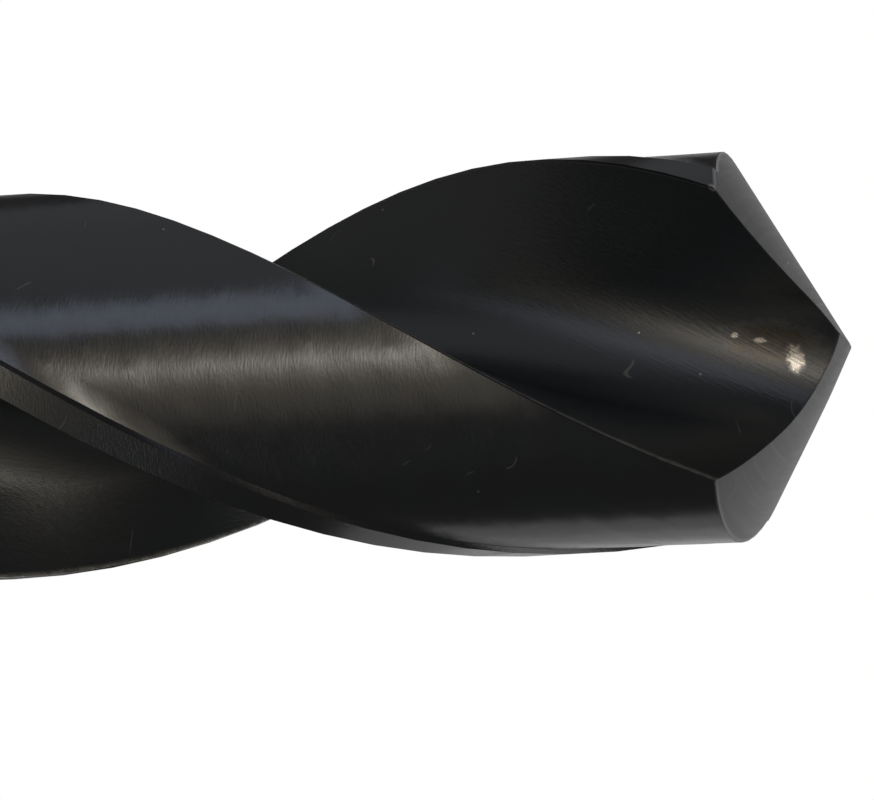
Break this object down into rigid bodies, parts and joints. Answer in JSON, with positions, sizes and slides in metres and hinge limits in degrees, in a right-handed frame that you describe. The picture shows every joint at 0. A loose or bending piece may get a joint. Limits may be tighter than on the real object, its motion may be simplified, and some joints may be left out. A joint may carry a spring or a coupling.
{
  "type": "twist drill bit",
  "caption": "Right-hand twist drill with two helical flutes, ground cone point with chisel edge, narrow margins, cleared lands and a plain straight shank.",
  "frame": {"origin": "centre of the flat end of the shank", "axes": "+Z along the drill's axis from the shank end to the point, X parallel to the two cutting lips"},
  "size_m": [0.013, 0.013, 0.151],
  "materials": {
    "black_oxide_steel": "black oxide over ground high speed steel, semi-matt"
  },
  "bodies": {
    "root": {"twist_drill": "black_oxide_steel"}
  },
  "joints": []
}
